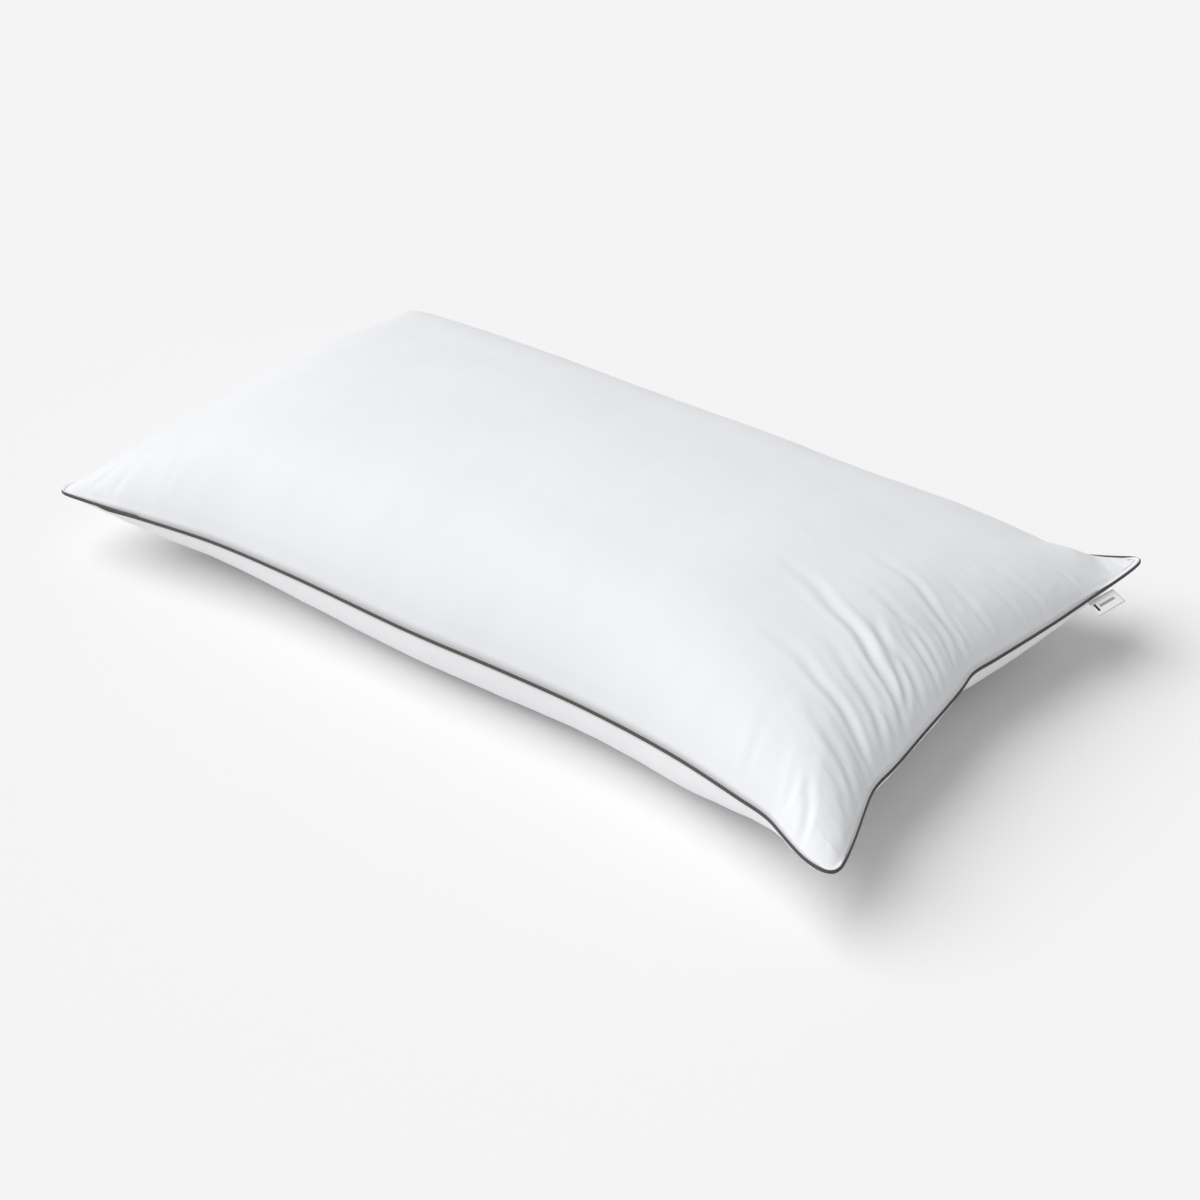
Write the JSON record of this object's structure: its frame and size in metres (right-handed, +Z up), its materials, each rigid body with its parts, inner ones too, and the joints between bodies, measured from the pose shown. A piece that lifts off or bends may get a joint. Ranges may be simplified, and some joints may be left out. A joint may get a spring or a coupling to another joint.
{
  "type": "bed pillow",
  "caption": "Filled rectangular bed pillow with drawn-out corners, a piped seam all round and a small folded label caught in one short edge.",
  "frame": {"origin": "under the middle of the pillow, on the surface it rests on", "axes": "+X along the long side towards the short edge with the label, +Z up, +Y across the pillow so that the label lies nearer the +Y tip"},
  "size_m": [0.8924, 0.4932, 0.17],
  "materials": {
    "panel_cotton": "closely woven white cotton, matt with a faint sheen",
    "piping_cloth": "charcoal bias-cut twill cotton",
    "cord_cotton": "unbleached cotton filler cord",
    "sewing_thread": "white polyester core-spun thread",
    "label_ribbon": "white woven satin ribbon",
    "fill_fibre": "lofty white fibre"
  },
  "bodies": {
    "pillow": {"top_panel": "panel_cotton", "bottom_panel": "panel_cotton", "piping_cover": "piping_cloth", "piping_cord": "cord_cotton", "seam_needle_thread": "sewing_thread", "seam_bobbin_thread": "sewing_thread", "closing_needle_thread": "sewing_thread", "closing_bobbin_thread": "sewing_thread", "overedge_thread": "sewing_thread", "label_tail": "label_ribbon", "fibre_fill": "fill_fibre"},
    "label": {"label_flap": "label_ribbon"}
  },
  "joints": [
    {"name": "label_bend", "type": "hinge", "parent": "pillow", "child": "label", "pos_m": [0.43236, 0.18467, 0.07378], "axis": [0.22, 0.9755, 0], "range_deg": [-60, 60], "stiffness_Nm_per_rad": 0.00025}
  ]
}
